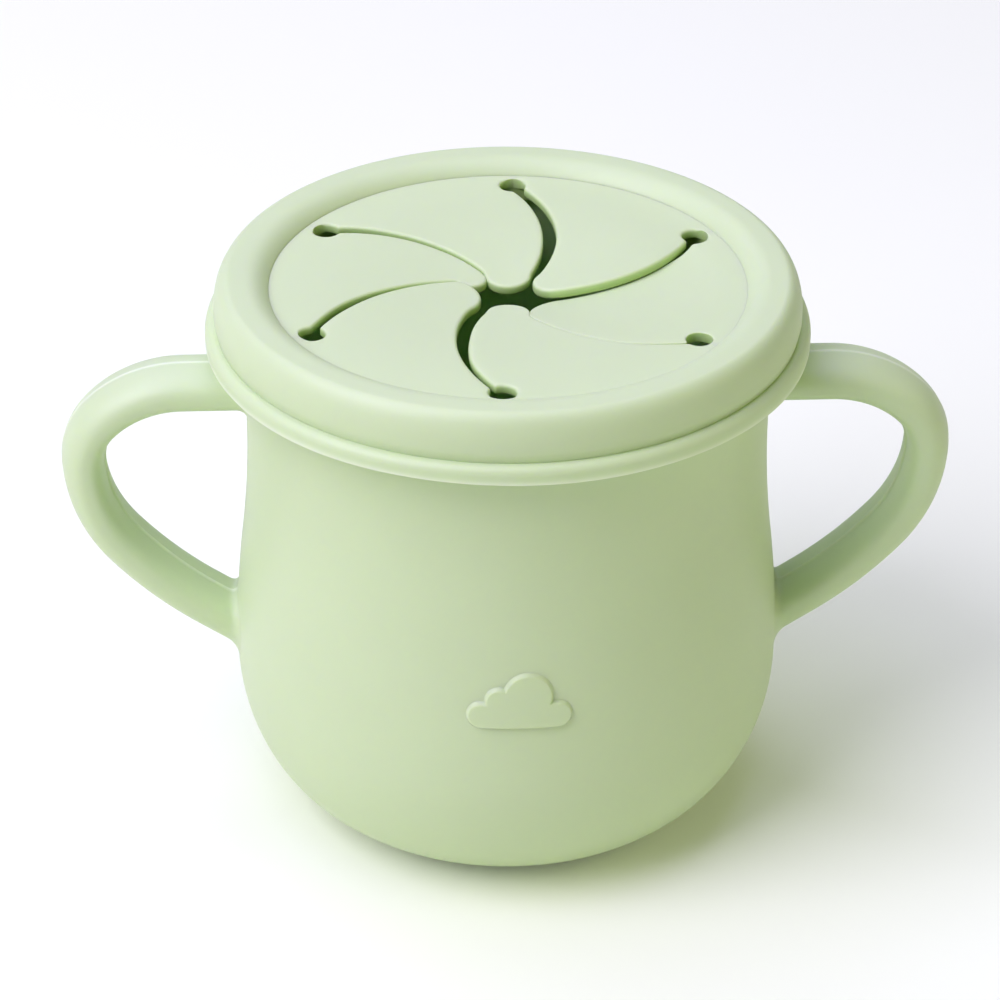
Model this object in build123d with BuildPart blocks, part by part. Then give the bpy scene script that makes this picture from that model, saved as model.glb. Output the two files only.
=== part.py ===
from build123d import *
from math import cos, radians, sin
import os

# Toddler's snack cup of soft silicone, with two loop handles and a stretch-on lid cut into six petals.
# Millimetres, +Z up. The origin is the middle of the base, on the surface that the cup stands on.
# The handles lie along X, and -Y is the front.

os.makedirs("parts", exist_ok=True)

# Pot-shaped wall of the cup
belly_radius = 41.9
belly_height = 24.4
neck_radius = 39.3
neck_drop = 21.2
foot_radius = 23.4
mouth_height = 85.6
wall = 3.0
base_thickness = 3.2
mouth_round = 0.9

# Foot ring, left by a shallow recess under the base
foot_ring_width = 5.0
foot_recess_depth = 0.8

# Bead round the outside of the mouth, which holds the lid down
bead_reach = 1.6
bead_height = 5.2
bead_round = 0.8

# Loop handles: a level run out of the wall, then four bends, each of one radius and one angle
handle_thickness = 7.4
handle_depth = 11.7
handle_drop = 15.2
handle_run = 9.4
handle_bend_radii = (17.0, 10.6, 22.8, 62.0)
handle_bend_angles = (45.0, 45.0, 40.0, 17.0)
handle_flare = 1.6

# Raised motif on the front of the wall, a plain cloud
motif_width = 15.6
motif_foot_height = 4.4
motif_height = 37.4
motif_raise = 0.6
motif_edge_chamfer = 0.2
motif_puffs = [((-2.9, 2.4), 2.2), ((1.3, 3.2), 3.7)]

# Lid: rolled rim round a flat membrane, which lies lower than the crest
skirt_thickness = 2.4
shoulder_width = 2.5
shoulder_drop = 4.6
crest_width = 2.9
crest_thickness = 2.75
inner_shoulder_width = 2.8
membrane_drop = 2.1
membrane_thickness = 1.6
flange_reach = 1.4
flange_height = 2.6
flange_round = 1.3
crease_height = 1.5
crease_depth = 0.3

# Lid against cup: clearances, the lip that snaps under the bead, and the wall that centres the lid
seat_clearance = 0.15
bead_clearance = 0.3
lip_clearance = 0.15
lip_height = 1.4
lip_lead = 0.6
locating_depth = 3.2
locating_thickness = 1.6
locating_clearance = 0.3

# Petals: six curved slits, each from a round hole near the rim to a notch of the star in the middle
petal_count = 6
lid_angle = -3.9
hole_radius = 2.0
hole_inset = 2.1
slit_width = 0.7
slit_bow = 3.8
notch_radius = 7.3
notch_angle = 33.0
nose_reach = 3.0
nose_round = 1.2
hinge_clearance = 0.15

# Cup's places that follow from the sizes above
neck_height = mouth_height - neck_drop
handle_height = mouth_height - handle_drop
mouth_inner_radius = neck_radius - wall
bead_radius = neck_radius + bead_reach
bead_foot = mouth_height - bead_height

# Lid's heights, from its seat on the mouth up and from the bead down
seat = mouth_height + seat_clearance
crest_top = seat + crest_thickness
membrane_top = crest_top - membrane_drop
membrane_bottom = membrane_top - membrane_thickness
lip_top = bead_foot - bead_clearance
lid_foot = lip_top - lip_height

# Lid's radii, from the bead outward, from the rim inward, and inside the mouth
skirt_inner_radius = bead_radius + bead_clearance
rim_radius = skirt_inner_radius + skirt_thickness
flange_radius = rim_radius + flange_reach
crest_radius = rim_radius - shoulder_width
crest_inner_radius = crest_radius - crest_width
membrane_radius = crest_inner_radius - inner_shoulder_width
lip_inner_radius = neck_radius + lip_clearance
locating_outer_radius = mouth_inner_radius - locating_clearance
locating_inner_radius = locating_outer_radius - locating_thickness
hole_circle_radius = locating_inner_radius - hole_inset
petal_angle = 360 / petal_count
apothem = hole_circle_radius * cos(radians(petal_angle / 2))


def pot_section(inset, floor):
    """Half of the pot from its axis outward, with the wall moved in by inset and the base at floor."""
    middle = ((belly_radius + neck_radius) / 2 - inset, (belly_height + neck_height) / 2)
    with BuildSketch(Plane.YZ) as section:
        with BuildLine():
            base = Line((0, floor), (foot_radius, floor))
            heel = EllipticalCenterArc(
                (foot_radius, belly_height),
                belly_radius - foot_radius - inset,
                belly_height - floor,
                start_angle=270,
                arc_size=90,
            )
            belly = TangentArc(heel @ 1, middle, tangent=(0, 1))
            neck = TangentArc(belly @ 1, (neck_radius - inset, neck_height), tangent=belly % 1)
            Polyline(neck @ 1, (neck_radius - inset, mouth_height), (0, mouth_height), base @ 0)
        make_face()
    return section.sketch


def corner(sketch, x, y):
    """The vertex of a sketch that lies nearest to a place in it."""
    return sketch.vertices().sort_by_distance((x, y))[0]


# Solid form of the pot, which the handles and the motif are fitted to
with BuildPart() as pot:
    revolve(pot_section(0, 0), axis=Axis.Z)

# Cup body: the pot with its bead, hollowed out
with BuildPart() as cup_body:
    add(pot.part)
    with BuildSketch(Plane.XZ) as bead:
        with Locations((mouth_inner_radius, bead_foot)):
            Rectangle(bead_radius - mouth_inner_radius, bead_height, align=Align.MIN)
        fillet(bead.vertices().group_by(Axis.X)[-1], bead_round)
    revolve(axis=Axis.Z)
    revolve(pot_section(wall, base_thickness), axis=Axis.Z, mode=Mode.SUBTRACT)
    mouth_edges = cup_body.edges().filter_by(GeomType.CIRCLE).group_by(Axis.Z)[-1]
    fillet(mouth_edges.sort_by(SortBy.RADIUS)[0], mouth_round)
    with BuildSketch():
        Circle(foot_radius - foot_ring_width)
    extrude(amount=foot_recess_depth, taper=30, mode=Mode.SUBTRACT)

# Handle: one elliptic section along the level run and the bends, flared where it leaves the wall
with BuildPart() as right_handle:
    with BuildLine(Plane.XZ) as handle_path:
        stretch = Line((neck_radius - wall / 2, handle_height), (neck_radius + handle_run, handle_height))
        for bend_radius, bend_angle in zip(handle_bend_radii, handle_bend_angles):
            stretch = JernArc(stretch @ 1, stretch % 1, bend_radius, -bend_angle)
        Line(stretch @ 1, stretch @ 1 + stretch % 1 * belly_radius / 2)
    with BuildSketch(Plane(handle_path.line @ 0, x_dir=(0, 1, 0), z_dir=(1, 0, 0))):
        Ellipse(handle_depth / 2, handle_thickness / 2)
    sweep(path=handle_path.line)
    add(pot.part)
    fillet(right_handle.edges(Select.NEW), handle_flare)
    split(bisect_by=Plane.YZ.offset(mouth_inner_radius / 2))
    add(pot.part, mode=Mode.SUBTRACT)

with BuildPart() as left_handle:
    add(right_handle.part)
    mirror(about=Plane.YZ, mode=Mode.REPLACE)

# Motif: the cloud's outline, carried out to an even height above the curved wall
with BuildPart() as front_motif:
    with BuildSketch(Plane.XZ.offset(neck_radius - wall)) as cloud:
        with Locations((0, motif_height)):
            SlotOverall(motif_width, motif_foot_height)
        for (puff_x, puff_z), puff_radius in motif_puffs:
            with Locations((puff_x, motif_height + puff_z)):
                Circle(puff_radius)
    extrude(amount=belly_radius)
    revolve(pot_section(-motif_raise, 0), axis=Axis.Z, mode=Mode.INTERSECT)
    chamfer(front_motif.faces().sort_by(Axis.Y)[0].edges(), motif_edge_chamfer)
    add(pot.part, mode=Mode.SUBTRACT)


def around(radius, angle):
    """Point of the lid's plan at a radius and at an angle from +X."""
    return Vector(radius * cos(radians(angle)), radius * sin(radians(angle)))


def hole_angle(number):
    """Angle of a slit's hole, counted clockwise from the one at the back."""
    return 90 + lid_angle - petal_angle * number


def hole(number):
    """Middle of a slit's round outer end."""
    return around(hole_circle_radius, hole_angle(number))


def notch(number):
    """Inner end of a slit, at the star in the middle."""
    return around(notch_radius, hole_angle(number) - notch_angle)


# Lid rim: rolled rim, skirt and flange, with the locating wall and the membrane's fixed ring inside
with BuildPart() as lid_rim:
    with BuildSketch(Plane.XZ) as rim_section:
        with BuildLine():
            membrane_line = Line((0, membrane_top), (membrane_radius, membrane_top))
            inner_shoulder = EllipticalCenterArc(
                (crest_inner_radius, membrane_top),
                inner_shoulder_width,
                membrane_drop,
                start_angle=180,
                arc_size=-90,
            )
            Line(inner_shoulder @ 1, (crest_radius, crest_top))
            shoulder = EllipticalCenterArc(
                (crest_radius, crest_top - shoulder_drop),
                shoulder_width,
                shoulder_drop,
                start_angle=90,
                arc_size=-90,
            )
            Polyline(
                shoulder @ 1,
                (rim_radius, lid_foot + flange_height + crease_height),
                (rim_radius - crease_depth, lid_foot + flange_height),
                (flange_radius, lid_foot + flange_height),
                (flange_radius, lid_foot),
                (skirt_inner_radius, lid_foot),
                (skirt_inner_radius, seat),
                (locating_outer_radius, seat),
                (locating_outer_radius, mouth_height - locating_depth),
                (locating_inner_radius, mouth_height - locating_depth),
                (locating_inner_radius, membrane_bottom),
                (0, membrane_bottom),
                membrane_line @ 0,
            )
        make_face()
        fillet(corner(rim_section, flange_radius, lid_foot + flange_height), flange_round)
        for tip_radius in (locating_outer_radius, locating_inner_radius):
            fillet(corner(rim_section, tip_radius, mouth_height - locating_depth), locating_thickness / 3)
    revolve(axis=Axis.Z)
    with BuildSketch(Plane.XY.offset(membrane_bottom)):
        RegularPolygon(
            apothem + membrane_thickness / 2 + hinge_clearance,
            petal_count,
            major_radius=False,
            rotation=hole_angle(0),
        )
        with Locations(*[hole(number) for number in range(petal_count)]):
            Circle(hole_radius)
    extrude(amount=membrane_thickness, mode=Mode.SUBTRACT)

# Snap lip: the thin ring under the skirt that grips below the bead, with a lead-in at its foot
with BuildPart() as lid_snap_lip:
    with BuildSketch(Plane.XZ) as lip_section:
        with Locations((lip_inner_radius, lid_foot)):
            Rectangle(skirt_inner_radius - lip_inner_radius, lip_height, align=Align.MIN)
        chamfer(corner(lip_section, lip_inner_radius, lid_foot), lip_lead)
    revolve(axis=Axis.Z)

# Petals: each bends about the line between its two holes, where its root is rounded
petals = []
for number in range(petal_count):
    start, end = hole(number), hole(number + 1)
    outward = around(slit_width / 2, hole_angle(number) - petal_angle / 2)
    along = end - start
    with BuildPart() as petal:
        with BuildSketch(Plane.XY.offset(membrane_bottom)) as outline:
            with BuildLine():
                SagittaArc(start, notch(number), slit_bow)
                SagittaArc(notch(number), notch(number + 1), -nose_reach)
                SagittaArc(notch(number + 1), end, -slit_bow)
                Polyline(end, end + outward, start + outward, start)
            make_face()
            offset(amount=-slit_width / 2, kind=Kind.INTERSECTION)
            fillet(outline.vertices().sort_by_distance((0, 0))[:2], nose_round)
        extrude(amount=membrane_thickness)
        root_height = Vector(0, 0, membrane_bottom + membrane_thickness / 2)
        with BuildSketch(Plane(start + root_height, x_dir=(0, 0, 1), z_dir=along)):
            Circle(membrane_thickness / 2)
        extrude(amount=along.length)
        with BuildSketch(Plane.XY.offset(membrane_bottom)):
            with Locations(start, end):
                Circle(hole_radius)
        extrude(amount=membrane_thickness, mode=Mode.SUBTRACT)
    petal.part.label = f"lid_petal_{number + 1}"
    petals.append(petal.part)

cup_body.part.label = "cup_body"
right_handle.part.label = "right_handle"
left_handle.part.label = "left_handle"
front_motif.part.label = "front_motif"
lid_rim.part.label = "lid_rim"
lid_snap_lip.part.label = "lid_snap_lip"

pieces = [cup_body.part, right_handle.part, left_handle.part, front_motif.part, lid_rim.part, lid_snap_lip.part]
for piece in pieces + petals:
    export_step(piece, f"parts/{piece.label}.step")
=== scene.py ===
"""Toddler's snack cup of soft silicone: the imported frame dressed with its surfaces, finishes and light."""

import logging
import math
from dataclasses import dataclass
from enum import Enum

import bpy
import numpy as np
from mathutils import Matrix, Vector


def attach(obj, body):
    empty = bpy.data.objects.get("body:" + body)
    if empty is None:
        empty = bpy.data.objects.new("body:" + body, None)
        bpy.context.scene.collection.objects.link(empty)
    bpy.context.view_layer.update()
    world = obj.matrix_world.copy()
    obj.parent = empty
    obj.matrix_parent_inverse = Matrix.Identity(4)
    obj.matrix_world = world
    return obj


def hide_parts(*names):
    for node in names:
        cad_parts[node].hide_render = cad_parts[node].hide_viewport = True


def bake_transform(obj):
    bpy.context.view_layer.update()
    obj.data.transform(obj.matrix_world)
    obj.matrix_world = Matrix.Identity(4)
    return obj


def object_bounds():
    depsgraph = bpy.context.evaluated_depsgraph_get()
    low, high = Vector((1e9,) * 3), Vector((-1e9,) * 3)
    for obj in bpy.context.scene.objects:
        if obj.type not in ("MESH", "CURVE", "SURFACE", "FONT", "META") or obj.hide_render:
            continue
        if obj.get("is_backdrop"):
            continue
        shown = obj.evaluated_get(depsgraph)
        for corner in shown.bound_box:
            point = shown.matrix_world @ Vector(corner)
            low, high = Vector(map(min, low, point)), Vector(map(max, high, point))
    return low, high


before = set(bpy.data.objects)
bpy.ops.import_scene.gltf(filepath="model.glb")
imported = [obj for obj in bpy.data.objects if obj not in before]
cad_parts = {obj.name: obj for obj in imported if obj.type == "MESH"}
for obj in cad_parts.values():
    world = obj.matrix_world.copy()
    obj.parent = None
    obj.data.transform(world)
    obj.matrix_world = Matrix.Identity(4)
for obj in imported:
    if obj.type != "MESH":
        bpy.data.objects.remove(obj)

log = logging.getLogger("snack_cup")
MM = 0.001
Array = np.ndarray
Colour = tuple[float, float, float]
Pair = tuple[float, float]


# Curves and surfaces.


def smoothstep(t: Array) -> Array:
    """Three t squared less two t cubed, with t held between 0 and 1."""
    t = np.clip(t, 0.0, 1.0)
    return t * t * (3.0 - 2.0 * t)


def arc(centre: Pair, rx: float, ry: float, start: float, end: float, count: int) -> Array:
    """Points of an ellipse's arc: centre + (rx cos a, ry sin a), with a from start to end.

    Args:
        centre: Middle of the ellipse.
        rx: Half width.
        ry: Half height.
        start: First angle in degrees.
        end: Last angle in degrees.
        count: Number of points, both ends included.

    Returns:
        Array of count rows of two numbers.
    """
    a = np.radians(np.linspace(start, end, count))
    return np.stack([centre[0] + rx * np.cos(a), centre[1] + ry * np.sin(a)], axis=1)


def run(start: Pair, end: Pair, count: int) -> Array:
    """Points of a straight run: start + t (end - start), with t in equal steps from 0 to 1."""
    t = np.linspace(0.0, 1.0, count)[:, None]
    return np.asarray(start) + t * (np.asarray(end) - np.asarray(start))


def legs(corners: list[Pair], counts: tuple[int, ...]) -> Array:
    """Straight runs from corner to corner, each with its own number of points."""
    return np.concatenate([run(a, b, count) for a, b, count in zip(corners, corners[1:], counts)])


def joined(*parts: Array) -> Array:
    """One polyline from several, without points that lie within a hundredth of a millimetre of the last.

    Args:
        parts: The polylines, end to end.

    Returns:
        Rows of coordinates.
    """
    points = np.concatenate(parts)
    keep = np.concatenate([[True], np.linalg.norm(np.diff(points, axis=0), axis=1) > 0.01])
    return points[keep]


def divided(points: Array, count: int) -> Array:
    """The same polyline in equal steps of arc length.

    Args:
        points: The polyline.
        count: Number of steps.

    Returns:
        Rows of coordinates, one more than there are steps.
    """
    length = np.concatenate([[0.0], np.cumsum(np.linalg.norm(np.diff(points, axis=0), axis=1))])
    at = np.linspace(0.0, length[-1], count + 1)
    return np.stack([np.interp(at, length, points[:, i]) for i in range(points.shape[1])], axis=1)


def pinned(points: Array, place: Array) -> Array:
    """The same polyline with the point that lies nearest to a place moved there.

    Args:
        points: The polyline.
        place: Where a point has to lie, in x and y.

    Returns:
        Array of the same shape.
    """
    nearest = np.argmin(np.linalg.norm(points[:, :2] - place, axis=1))
    moved = points.copy()
    moved[nearest, :2] = place
    return moved


def bowed(start: Array, end: Array, bow: float, count: int) -> Array:
    """Points of a circle's arc from start to end. Its middle stands off the chord c by the bow b, to the left
    of the way, so its radius r is (c squared / 4 + b squared) / 2 b, and at x from the chord's middle it
    stands off by sqrt(r squared - x squared) - (r - b).

    Args:
        start: First point.
        end: Last point.
        bow: How far the middle stands off the chord, below 0 for the right.
        count: Number of points.

    Returns:
        Rows of x and y.
    """
    chord = end - start
    length = float(np.linalg.norm(chord))
    radius = (length**2 / 4 + bow**2) / (2 * abs(bow))
    t = np.linspace(0.0, 1.0, count)
    off = np.sqrt(radius**2 - (t * length - length / 2) ** 2) - (radius - abs(bow))
    left = np.array([-chord[1], chord[0]]) / length
    return start + np.outer(t, chord) + np.outer(math.copysign(1.0, bow) * off, left)


def softened(points: Array, sigma: float) -> Array:
    """An open polyline averaged along itself: each point is the mean of its neighbours, weighed by
    exp(-n squared / 2 sigma squared) for one n steps away. The two ends stay where they are.

    Args:
        points: The polyline, at equal steps.
        sigma: Spread of the weights, in steps.

    Returns:
        Array of the same shape.
    """
    reach = int(math.ceil(3 * sigma))
    n = np.arange(-reach, reach + 1)
    weights = np.exp(-0.5 * (n / sigma) ** 2)
    weights /= weights.sum()
    before = 2 * points[0] - points[reach:0:-1]
    after = 2 * points[-1] - points[-2 : -reach - 2 : -1]
    padded = np.concatenate([before, points, after])
    return np.stack([np.convolve(column, weights, mode="valid") for column in padded.T], axis=1)


def patched(grid: Array) -> Array:
    """A grid filled in from its border: P(u, v) = (1 - u) A(v) + u B(v) + (1 - v) C(u) + v D(u) less the
    bilinear patch of the four corners.

    Args:
        grid: Rows and columns of points, of which only the border counts.

    Returns:
        Array of the same shape.
    """
    v = np.linspace(0.0, 1.0, grid.shape[0])[:, None, None]
    u = np.linspace(0.0, 1.0, grid.shape[1])[None, :, None]
    ends = [(1 - u) * row[0] + u * row[-1] for row in (grid[0], grid[-1])]
    corners = (1 - v) * ends[0] + v * ends[1]
    return (1 - u) * grid[:, :1] + u * grid[:, -1:] + (1 - v) * grid[:1] + v * grid[-1:] - corners


def unfolded(grid: Array, rounds: int) -> Array:
    """A plane grid with its inner points moved so that no cell folds over. They go towards the solution of
    a P_uu - 2 b P_uv + c P_vv = 0, with a = P_v squared, b = P_u times P_v and c = P_u squared.

    Args:
        grid: Rows and columns of x and y.
        rounds: How often each point moves to its neighbours' mean.

    Returns:
        Array of the same shape.
    """
    p = grid.copy()
    for _ in range(rounds):
        p_u, p_v = (p[1:-1, 2:] - p[1:-1, :-2]) / 2, (p[2:, 1:-1] - p[:-2, 1:-1]) / 2
        factors = (p_v, p_v), (p_u, p_v), (p_u, p_u)
        a, b, c = ((one * other).sum(axis=-1, keepdims=True) for one, other in factors)
        twist = (p[2:, 2:] - p[2:, :-2] - p[:-2, 2:] + p[:-2, :-2]) / 4
        across, along = p[1:-1, 2:] + p[1:-1, :-2], p[2:, 1:-1] + p[:-2, 1:-1]
        p[1:-1, 1:-1] = (a * across + c * along - 2 * b * twist) / (2 * (a + c))
    return p


def grid_faces(rows: int, columns: int, closed_rows: bool = False, closed_columns: bool = False) -> Array:
    """Quads of a grid of points, numbered row by row.

    Args:
        rows: Number of rows of points.
        columns: Number of points in a row.
        closed_rows: Whether the last row joins the first.
        closed_columns: Whether the last point of a row joins its first.

    Returns:
        Array of quads.
    """
    r = np.arange(rows if closed_rows else rows - 1)[:, None]
    c = np.arange(columns if closed_columns else columns - 1)[None, :]
    r2, c2 = (r + 1) % rows, (c + 1) % columns
    quads = [r * columns + c, r * columns + c2, r2 * columns + c2, r2 * columns + c]
    return np.stack(quads, axis=-1).reshape(-1, 4)


def border(rows: int, columns: int) -> Array:
    """Numbers of a grid's border points, once round: first row, last column, last row, first column."""
    index = np.arange(rows * columns).reshape(rows, columns)
    return np.concatenate([index[0, :-1], index[:-1, -1], index[-1, :0:-1], index[:0:-1, 0]])


class Mark(Enum):
    """What a finish reads at each point of a piece, where light or shade is painted into its colour: a
    painted highlight along the handles' parting ridge and painted light through the thin edge of the flange,
    painted shade on the cut faces of the slits and under the membrane, and painted light inside the cup,
    where light comes through the wall."""

    PAINTED_LIGHT = "painted_light"
    PAINTED_SHADE = "painted_shade"
    PAINTED_GLOW = "inner"


def make_piece(
    name: str, points: Array, faces: list[Array], crease: float = 38.0, marks: dict[Mark, Array] | None = None
) -> bpy.types.Object:
    """A mesh object from points in millimetres and lists of faces, shaded smooth up to a crease angle.

    Args:
        name: Name of the piece.
        points: Array of points in millimetres, in the part's frame.
        faces: Arrays of quads or of triangles.
        crease: Angle in degrees above which an edge stays sharp.
        marks: Values from 0 to 1 at each point, kept as attributes of the mesh.

    Returns:
        The object, at the origin.
    """
    mesh = bpy.data.meshes.new(name)
    mesh.from_pydata((points * MM).tolist(), [], [f for part in faces for f in part.tolist()])
    mesh.validate()
    mesh.polygons.foreach_set("use_smooth", np.ones(len(mesh.polygons), dtype=bool))
    mesh.set_sharp_from_angle(angle=math.radians(crease))
    for mark, values in (marks or {}).items():
        mesh.attributes.new(mark.value, "FLOAT", "POINT").data.foreach_set("value", values.astype(np.float32))
    mesh.update()
    piece = bpy.data.objects.new(name, mesh)
    bpy.context.scene.collection.objects.link(piece)
    return piece


def lathe(
    profile: Array, segments: int, closed: bool, ripple: Array | None = None
) -> tuple[Array, list[Array]]:
    """A profile turned round Z: (r cos a, r sin a, z), with a from 0 to a full turn.

    Args:
        profile: Rows of radius and height, in the order that leaves the solid on the left.
        segments: Number of steps round.
        closed: Whether the last point of the profile joins the first. If not, both ends close in a pole.
        ripple: Height added at each profile point and step, or None.

    Returns:
        Points and faces, which point outwards.
    """
    a = np.arange(segments) * 2 * math.pi / segments
    r, z = profile[:, 0][:, None], profile[:, 1][:, None]
    high = np.broadcast_to(z, (len(profile), segments)) + (0.0 if ripple is None else ripple)
    points = np.stack([r * np.cos(a), r * np.sin(a), high], axis=-1).reshape(-1, 3)
    faces = [grid_faces(len(profile), segments, closed_rows=closed, closed_columns=True)]
    if not closed:
        poles = np.array([[0.0, 0.0, profile[0, 1]], [0.0, 0.0, profile[-1, 1]]])
        c = np.arange(segments)
        last = (len(profile) - 1) * segments
        first_pole, last_pole = len(points), len(points) + 1
        points = np.concatenate([points, poles])
        faces.append(np.stack([np.full(segments, first_pole), (c + 1) % segments, c], axis=1))
        faces.append(np.stack([np.full(segments, last_pole), last + c, last + (c + 1) % segments], axis=1))
    return points, faces


# Finishes.


@dataclass(frozen=True)
class SiliconeFinish:
    """Matte moulded silicone: pastel pigment, light that wanders in it, a blasted grain, a soft bloom, and
    light and shade painted into the colour where the piece is marked.
    """

    name: str
    pigment: Colour = (0.615, 0.750, 0.415)
    # Pigments for the marks: a painted highlight and painted light through thin silicone, painted shade on
    # cut faces, and painted light inside the cup.
    marked: tuple[tuple[Mark, Colour], ...] = (
        (Mark.PAINTED_LIGHT, (0.740, 0.850, 0.580)),
        (Mark.PAINTED_SHADE, (0.440, 0.640, 0.200)),
        (Mark.PAINTED_GLOW, (0.700, 0.920, 0.440)),
    )
    cloud_scale: float = 70.0
    cloudiness: float = 0.02
    roughness: float = 0.50
    patch_scale: float = 240.0
    patchiness: float = 0.05
    grain_scale: float = 5200.0
    grain_height: float = 0.0001
    grain_depth: float = 0.10
    wander: float = 0.4
    reach: float = 0.0016

    def build(self) -> bpy.types.Material:
        """Makes the material. Its colour is the pigment, made cloudy by slow noise, and goes towards a paler
        or deeper pigment where the piece is marked, which paints light and shade into it.

        Returns:
            The material.
        """
        material = bpy.data.materials.new(self.name)
        material.use_nodes = True
        tree = material.node_tree
        nodes, links = tree.nodes, tree.links
        shader = nodes["Principled BSDF"]
        shader.inputs["IOR"].default_value = 1.45
        shader.inputs["Specular IOR Level"].default_value = 0.8
        shader.inputs["Subsurface Weight"].default_value = self.wander
        shader.inputs["Subsurface Radius"].default_value = (0.9, 1.1, 0.35)
        shader.inputs["Subsurface Scale"].default_value = self.reach
        shader.inputs["Sheen Weight"].default_value = 0.06
        shader.inputs["Sheen Roughness"].default_value = 0.5

        place = nodes.new("ShaderNodeTexCoord")
        cloud = self._noise(tree, place, self.cloud_scale, 3.0)
        tone = self._spread(tree, cloud, 1.0, self.cloudiness)
        tinted = None
        # Each mark mixes in its pigment, which paints light or shade into the colour.
        for mark, pigment in self.marked:
            mix = self._toward(tree, mark, pigment)
            if tinted is None:
                mix.inputs["A"].default_value = (*self.pigment, 1.0)
            else:
                links.new(tinted.outputs["Result"], mix.inputs["A"])
            tinted = mix
        clouded = nodes.new("ShaderNodeVectorMath")
        clouded.operation = "SCALE"
        links.new(tinted.outputs["Result"], clouded.inputs["Vector"])
        links.new(tone.outputs["Result"], clouded.inputs["Scale"])
        links.new(clouded.outputs["Vector"], shader.inputs["Base Color"])

        patches = self._noise(tree, place, self.patch_scale, 4.0)
        rough = self._spread(tree, patches, self.roughness, self.patchiness)
        links.new(rough.outputs["Result"], shader.inputs["Roughness"])

        blasted = self._noise(tree, place, self.grain_scale, 2.0)
        bump = nodes.new("ShaderNodeBump")
        bump.inputs["Strength"].default_value = self.grain_depth
        bump.inputs["Distance"].default_value = self.grain_height
        links.new(blasted.outputs["Fac"], bump.inputs["Height"])
        links.new(bump.outputs["Normal"], shader.inputs["Normal"])
        return material

    @staticmethod
    def _toward(tree: bpy.types.NodeTree, mark: Mark, pigment: Colour) -> bpy.types.Node:
        """A mix that goes towards a pigment where a mark on the mesh is 1.

        Args:
            tree: The material's nodes.
            mark: The mark that it follows.
            pigment: The colour at 1.

        Returns:
            The mix, whose first colour is still open.
        """
        value = tree.nodes.new("ShaderNodeAttribute")
        value.attribute_name = mark.value
        mix = tree.nodes.new("ShaderNodeMix")
        mix.data_type = "RGBA"
        mix.inputs["B"].default_value = (*pigment, 1.0)
        tree.links.new(value.outputs["Fac"], mix.inputs["Factor"])
        return mix

    @staticmethod
    def _noise(
        tree: bpy.types.NodeTree, place: bpy.types.Node, scale: float, detail: float
    ) -> bpy.types.Node:
        """A noise texture on Object coordinates.

        Args:
            tree: The material's nodes.
            place: The node that gives the coordinates.
            scale: How fine the noise is.
            detail: How many finer octaves it has.

        Returns:
            The noise.
        """
        noise = tree.nodes.new("ShaderNodeTexNoise")
        noise.inputs["Scale"].default_value = scale
        noise.inputs["Detail"].default_value = detail
        tree.links.new(place.outputs["Object"], noise.inputs["Vector"])
        return noise

    @staticmethod
    def _spread(
        tree: bpy.types.NodeTree, noise: bpy.types.Node, middle: float, half: float
    ) -> bpy.types.Node:
        """A noise's value brought to the range from middle - half to middle + half.

        Args:
            tree: The material's nodes.
            noise: The noise.
            middle: Middle of the range.
            half: Half of its width.

        Returns:
            The node that gives the new value.
        """
        spread = tree.nodes.new("ShaderNodeMapRange")
        spread.inputs["To Min"].default_value = middle - half
        spread.inputs["To Max"].default_value = middle + half
        tree.links.new(noise.outputs["Fac"], spread.inputs["Value"])
        return spread


@dataclass(frozen=True)
class PaleGround:
    """Plain pale floor that the camera sees near white, with the object's soft shadow kept on it."""

    name: str = "pale_ground"
    colour: Colour = (0.90, 0.95, 0.76)
    lift: float = 0.08

    def build(self) -> bpy.types.Material:
        """A matte colour, and a lift that only camera, glossy and transmission rays see.

        Returns:
            The material.
        """
        material = bpy.data.materials.new(self.name)
        material.use_nodes = True
        nodes, links = material.node_tree.nodes, material.node_tree.links
        shader = nodes["Principled BSDF"]
        shader.inputs["Base Color"].default_value = (*self.colour, 1.0)
        shader.inputs["Roughness"].default_value = 0.9
        shader.inputs["Specular IOR Level"].default_value = 0.0
        shader.inputs["Emission Color"].default_value = (1.0, 1.0, 1.0, 1.0)
        path = nodes.new("ShaderNodeLightPath")
        seen = path.outputs["Is Camera Ray"]
        for ray in ("Is Glossy Ray", "Is Transmission Ray"):
            either = nodes.new("ShaderNodeMath")
            either.operation, either.use_clamp = "ADD", True
            links.new(seen, either.inputs[0])
            links.new(path.outputs[ray], either.inputs[1])
            seen = either.outputs["Value"]
        lift = nodes.new("ShaderNodeMath")
        lift.operation = "MULTIPLY"
        lift.inputs[1].default_value = self.lift
        links.new(seen, lift.inputs[0])
        links.new(lift.outputs["Value"], shader.inputs["Emission Strength"])
        return material


# The cup.


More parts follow.
